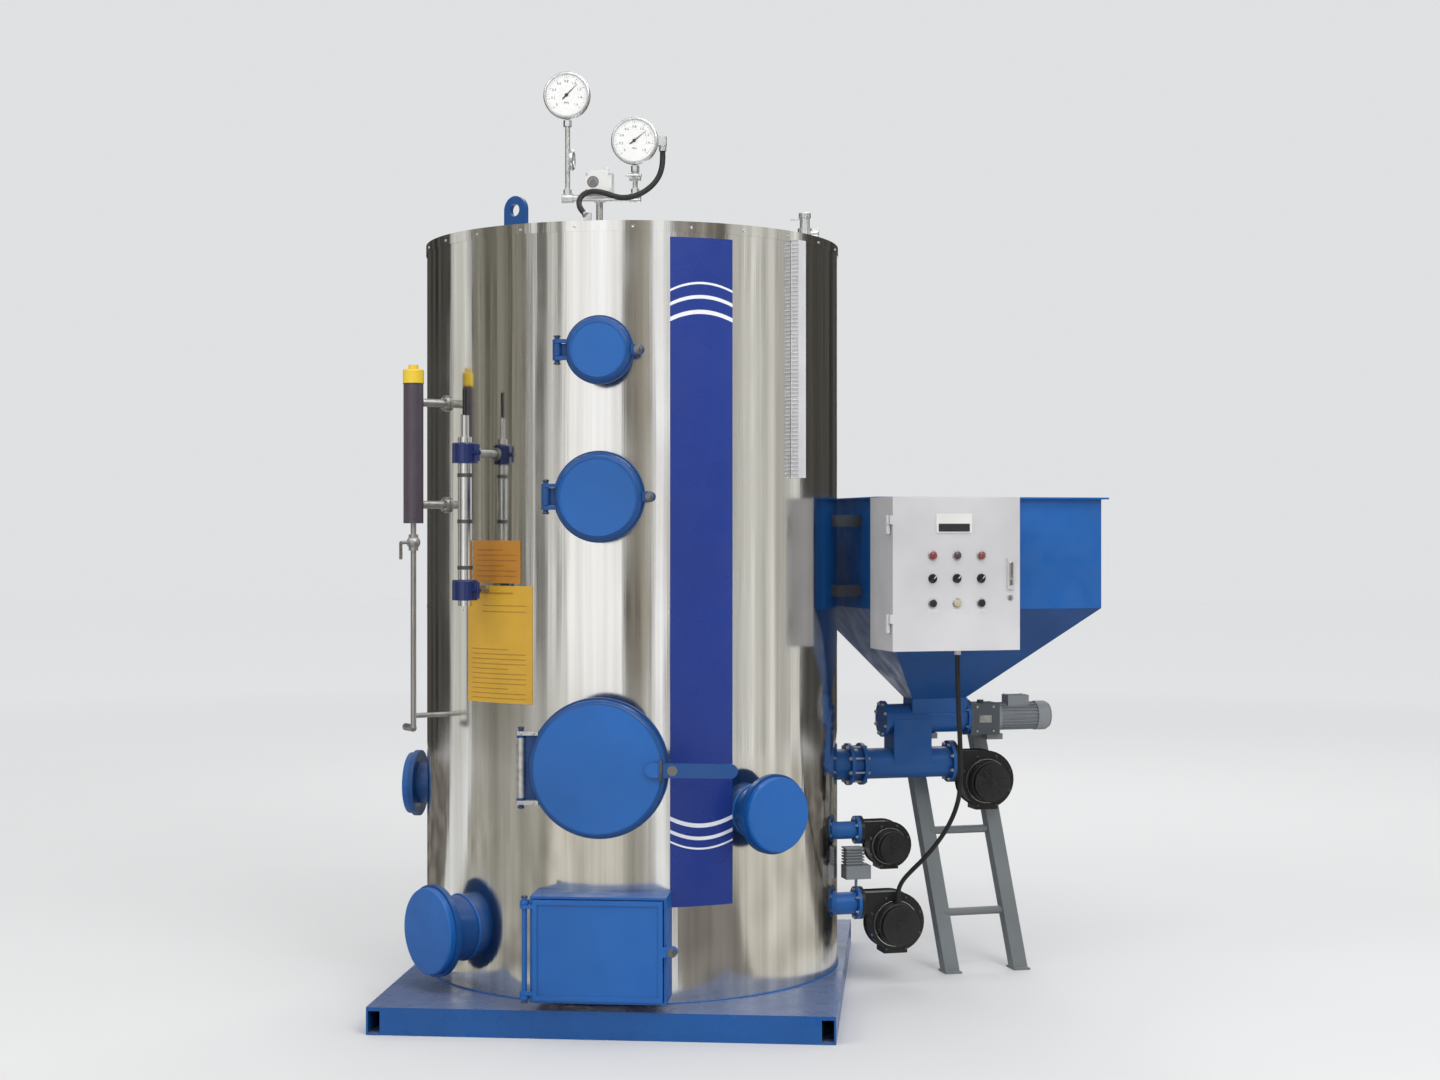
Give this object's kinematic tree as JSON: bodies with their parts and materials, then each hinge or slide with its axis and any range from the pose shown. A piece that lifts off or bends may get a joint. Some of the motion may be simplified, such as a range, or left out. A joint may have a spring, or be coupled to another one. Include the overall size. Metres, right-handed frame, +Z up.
{
  "type": "vertical steam boiler",
  "caption": "Upright pellet-fired steam boiler with a round mirror-steel jacket on a blue channel base, hinged front doors, gauges, and a hopper feeder with blowers beside it.",
  "frame": {"origin": "on the boiler body's axis at floor level", "axes": "+Z up along the body's axis, -Y towards the doors, +X towards the feeder"},
  "size_m": [2.4187, 1.7921, 3.035],
  "materials": {
    "blue_paint": null,
    "mirror_steel": null,
    "furnace_steel": null,
    "grate_iron": null,
    "refractory": null,
    "column_steel": null,
    "gauge_chrome": null,
    "pipe_steel": null,
    "dial_case": null,
    "pale_plastic": null,
    "black_rubber": null,
    "motor_grey": null,
    "black_paint": null,
    "dark_paint": null,
    "trestle_grey": null,
    "cabinet_paint": null
  },
  "bodies": {
    "boiler": {"base_side_rails": "blue_paint", "base_cross_rails": "blue_paint", "base_deck": "blue_paint", "jacket_front_lower": "mirror_steel", "jacket_front_upper": "mirror_steel", "jacket_left": "mirror_steel", "jacket_right": "mirror_steel", "top_cover": "mirror_steel", "furnace_front": "furnace_steel", "furnace_jambs": "furnace_steel", "furnace_sill": "furnace_steel", "furnace_left": "furnace_steel", "furnace_right": "furnace_steel", "flue_front": "furnace_steel", "flue_back": "furnace_steel", "furnace_plates": "furnace_steel", "grate_ring": "furnace_steel", "fire_grate": "grate_iron", "upper_neck": "blue_paint", "middle_neck": "blue_paint", "fire_neck": "blue_paint", "ash_box": "blue_paint", "hand_hole_necks": "blue_paint", "hand_hole_covers": "blue_paint", "level_column": "column_steel", "level_gauge": "gauge_chrome", "level_pipework": "pipe_steel", "flue_outlet": "blue_paint", "steam_outlet": "blue_paint", "safety_valve": "pipe_steel", "lifting_lugs": "blue_paint", "gauge_manifold": "pipe_steel", "pressure_gauges": "dial_case", "pressure_controller": "pale_plastic", "gauge_conduit": "black_rubber", "feed_tube": "blue_paint", "screw_trough": "blue_paint", "trough_neck": "blue_paint", "feed_screw": "pipe_steel", "gear_motor": "motor_grey", "feed_blower": "black_paint", "air_blowers": "black_paint", "air_stubs": "blue_paint", "damper_drive": "motor_grey", "hopper_bin": "blue_paint", "hopper_cone": "blue_paint", "hopper_brackets": "dark_paint", "trestle": "trestle_grey", "cabinet_box": "cabinet_paint", "blower_cable": "black_rubber"},
    "upper_door": {"upper_door": "blue_paint"},
    "middle_door": {"middle_door": "blue_paint"},
    "fire_door": {"fire_door": "blue_paint", "fire_door_lining": "refractory"},
    "ash_door": {"ash_door": "blue_paint"},
    "cabinet_door": {"cabinet_door": "cabinet_paint"}
  },
  "joints": [
    {"name": "upper_door_hinge", "type": "hinge", "parent": "boiler", "child": "upper_door", "pos_m": [-0.13, -0.79, 2.11], "axis": [0, 0, -1], "range_deg": [0, 110]},
    {"name": "middle_door_hinge", "type": "hinge", "parent": "boiler", "child": "middle_door", "pos_m": [-0.165, -0.79, 1.66], "axis": [0, 0, -1], "range_deg": [0, 110]},
    {"name": "fire_door_hinge", "type": "hinge", "parent": "boiler", "child": "fire_door", "pos_m": [-0.24, -0.8, 0.83], "axis": [0, 0, -1], "range_deg": [0, 110]},
    {"name": "ash_door_hinge", "type": "hinge", "parent": "boiler", "child": "ash_door", "pos_m": [-0.227, -0.815, 0.276], "axis": [0, 0, -1], "range_deg": [0, 110]},
    {"name": "cabinet_door_hinge", "type": "hinge", "parent": "boiler", "child": "cabinet_door", "pos_m": [0.87676, -0.35345, 1.416], "axis": [0, 0, -1], "range_deg": [0, 110]}
  ]
}
